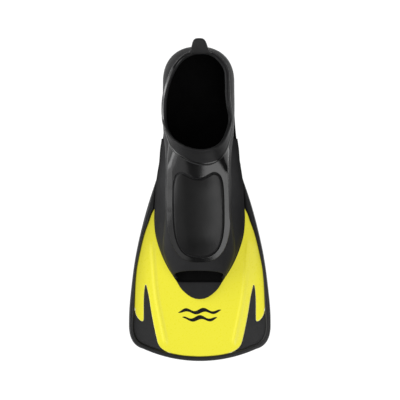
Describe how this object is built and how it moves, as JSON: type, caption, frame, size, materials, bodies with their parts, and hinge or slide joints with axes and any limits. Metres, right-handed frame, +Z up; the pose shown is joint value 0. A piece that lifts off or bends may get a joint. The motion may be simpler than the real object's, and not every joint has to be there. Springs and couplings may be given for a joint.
{
  "type": "swim fin",
  "caption": "Short full-foot swim fin: closed heel, open toe, soft instep panel, stiff plate in a rubber rim with corner inserts, hinged at its flex line.",
  "frame": {"origin": "on the ground, under the middle of the fin's length and width", "axes": "+Y from the blade's tip towards the heel, +Z up through the foot pocket, +X to the fin's right seen from above with the heel at the top"},
  "size_m": [0.1702, 0.3864, 0.0892],
  "materials": {
    "black_rubber": "satin moulded rubber",
    "soft_panel": "fine matte soft rubber",
    "tread_rubber": "matte ribbed rubber",
    "yellow_plastic": "smooth bright yellow plastic"
  },
  "bodies": {
    "foot_pocket": {"sole": "black_rubber", "heel_tread": "tread_rubber", "forefoot_tread": "tread_rubber", "instep_upper": "black_rubber", "heel_cup": "black_rubber", "ankle_collar": "black_rubber", "instep_panel": "soft_panel", "side_web_left": "black_rubber", "side_web_right": "black_rubber", "blade_root": "yellow_plastic", "root_rail_left": "black_rubber", "root_rail_right": "black_rubber"},
    "blade": {"blade_panel": "yellow_plastic", "toe_apron": "black_rubber", "side_rail_left": "black_rubber", "side_rail_right": "black_rubber", "corner_web_left": "black_rubber", "corner_web_right": "black_rubber", "trailing_edge": "black_rubber"},
    "pull_tab": {"heel_pull_tab": "black_rubber"}
  },
  "joints": [
    {"name": "blade_flex", "type": "hinge", "parent": "foot_pocket", "child": "blade", "pos_m": [0, -0.0975, 0.006], "axis": [1, 0, 0], "range_deg": [-25, 25], "stiffness_Nm_per_rad": 3.5},
    {"name": "tab_flex", "type": "hinge", "parent": "foot_pocket", "child": "pull_tab", "pos_m": [0.0035, 0.1773, 0.0718], "axis": [1, 0, 0], "range_deg": [-40, 50], "stiffness_Nm_per_rad": 0.05}
  ]
}
